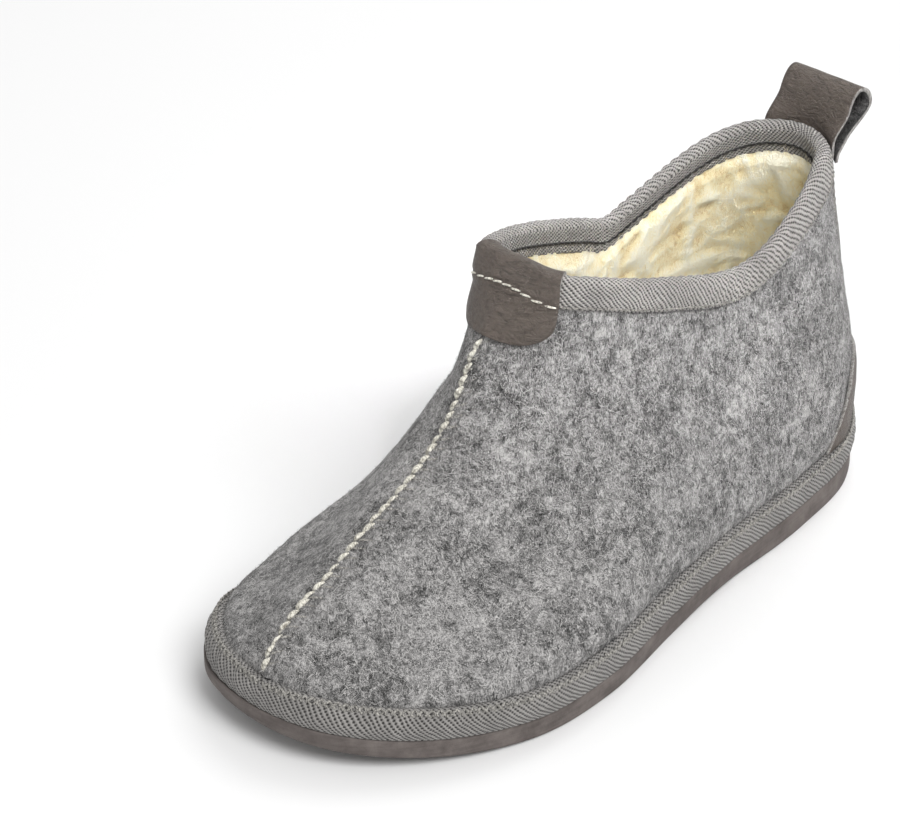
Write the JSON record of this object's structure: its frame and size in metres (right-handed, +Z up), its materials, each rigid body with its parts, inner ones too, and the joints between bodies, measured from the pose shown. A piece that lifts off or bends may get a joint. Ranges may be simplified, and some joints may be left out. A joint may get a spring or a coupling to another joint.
{
  "type": "lined felt slipper",
  "caption": "ankle-high house slipper for a left foot: hollow felt upper with a raised centre seam, taped edges, leather tab, heel loop and counter, on a foam wedge sole",
  "frame": {"origin": "middle of the bounding box, on the floor under the sole", "axes": "+Z up, the toe points to -Y and the heel to +Y, the little-toe side is +X"},
  "size_m": [0.1074, 0.267, 0.1265],
  "materials": {
    "outsole": "matt foam rubber with a finely lined side",
    "lining": "cream wool pile",
    "felt": "mottled grey wool felt with loose fibres",
    "tape": "herringbone woven tape",
    "leather": "soft pebble-grained leather, satin"
  },
  "bodies": {
    "root": {"outsole": "outsole", "insole": "lining", "upper": "felt", "sole_band": "tape", "collar_tape": "tape", "throat_tab": "leather", "pull_loop": "leather", "heel_counter": "leather"}
  },
  "joints": []
}
